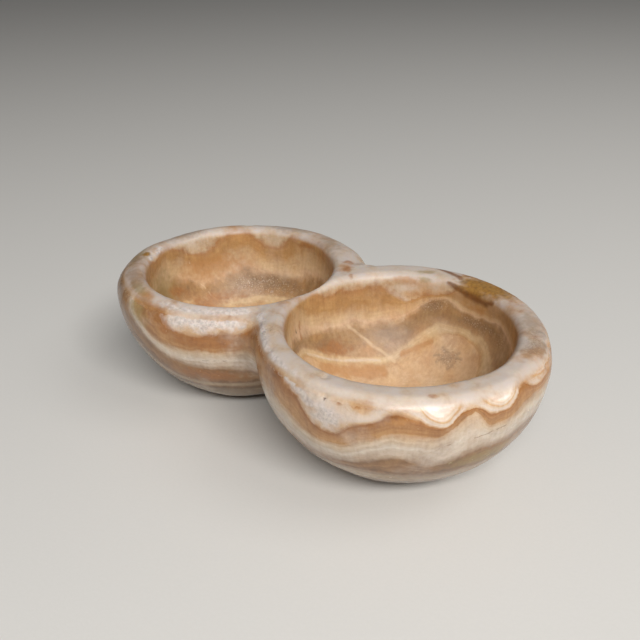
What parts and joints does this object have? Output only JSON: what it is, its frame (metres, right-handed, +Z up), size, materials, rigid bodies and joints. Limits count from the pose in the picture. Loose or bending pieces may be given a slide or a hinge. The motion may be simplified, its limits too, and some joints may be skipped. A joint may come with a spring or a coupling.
{
  "type": "alabaster double cup",
  "caption": "Twin round bowls carved side by side from one block of banded cream and caramel alabaster, sharing a wall with a thin crest.",
  "frame": {"origin": "on the underside, below the middle of the cup's box", "axes": "+Z up; +X along the length, from the smaller bowl to the larger one; +Y across"},
  "size_m": [0.1494, 0.0856, 0.0428],
  "materials": {
    "alabaster": "worn polish, banded cream and caramel"
  },
  "bodies": {
    "root": {"double_cup": "alabaster"}
  },
  "joints": []
}
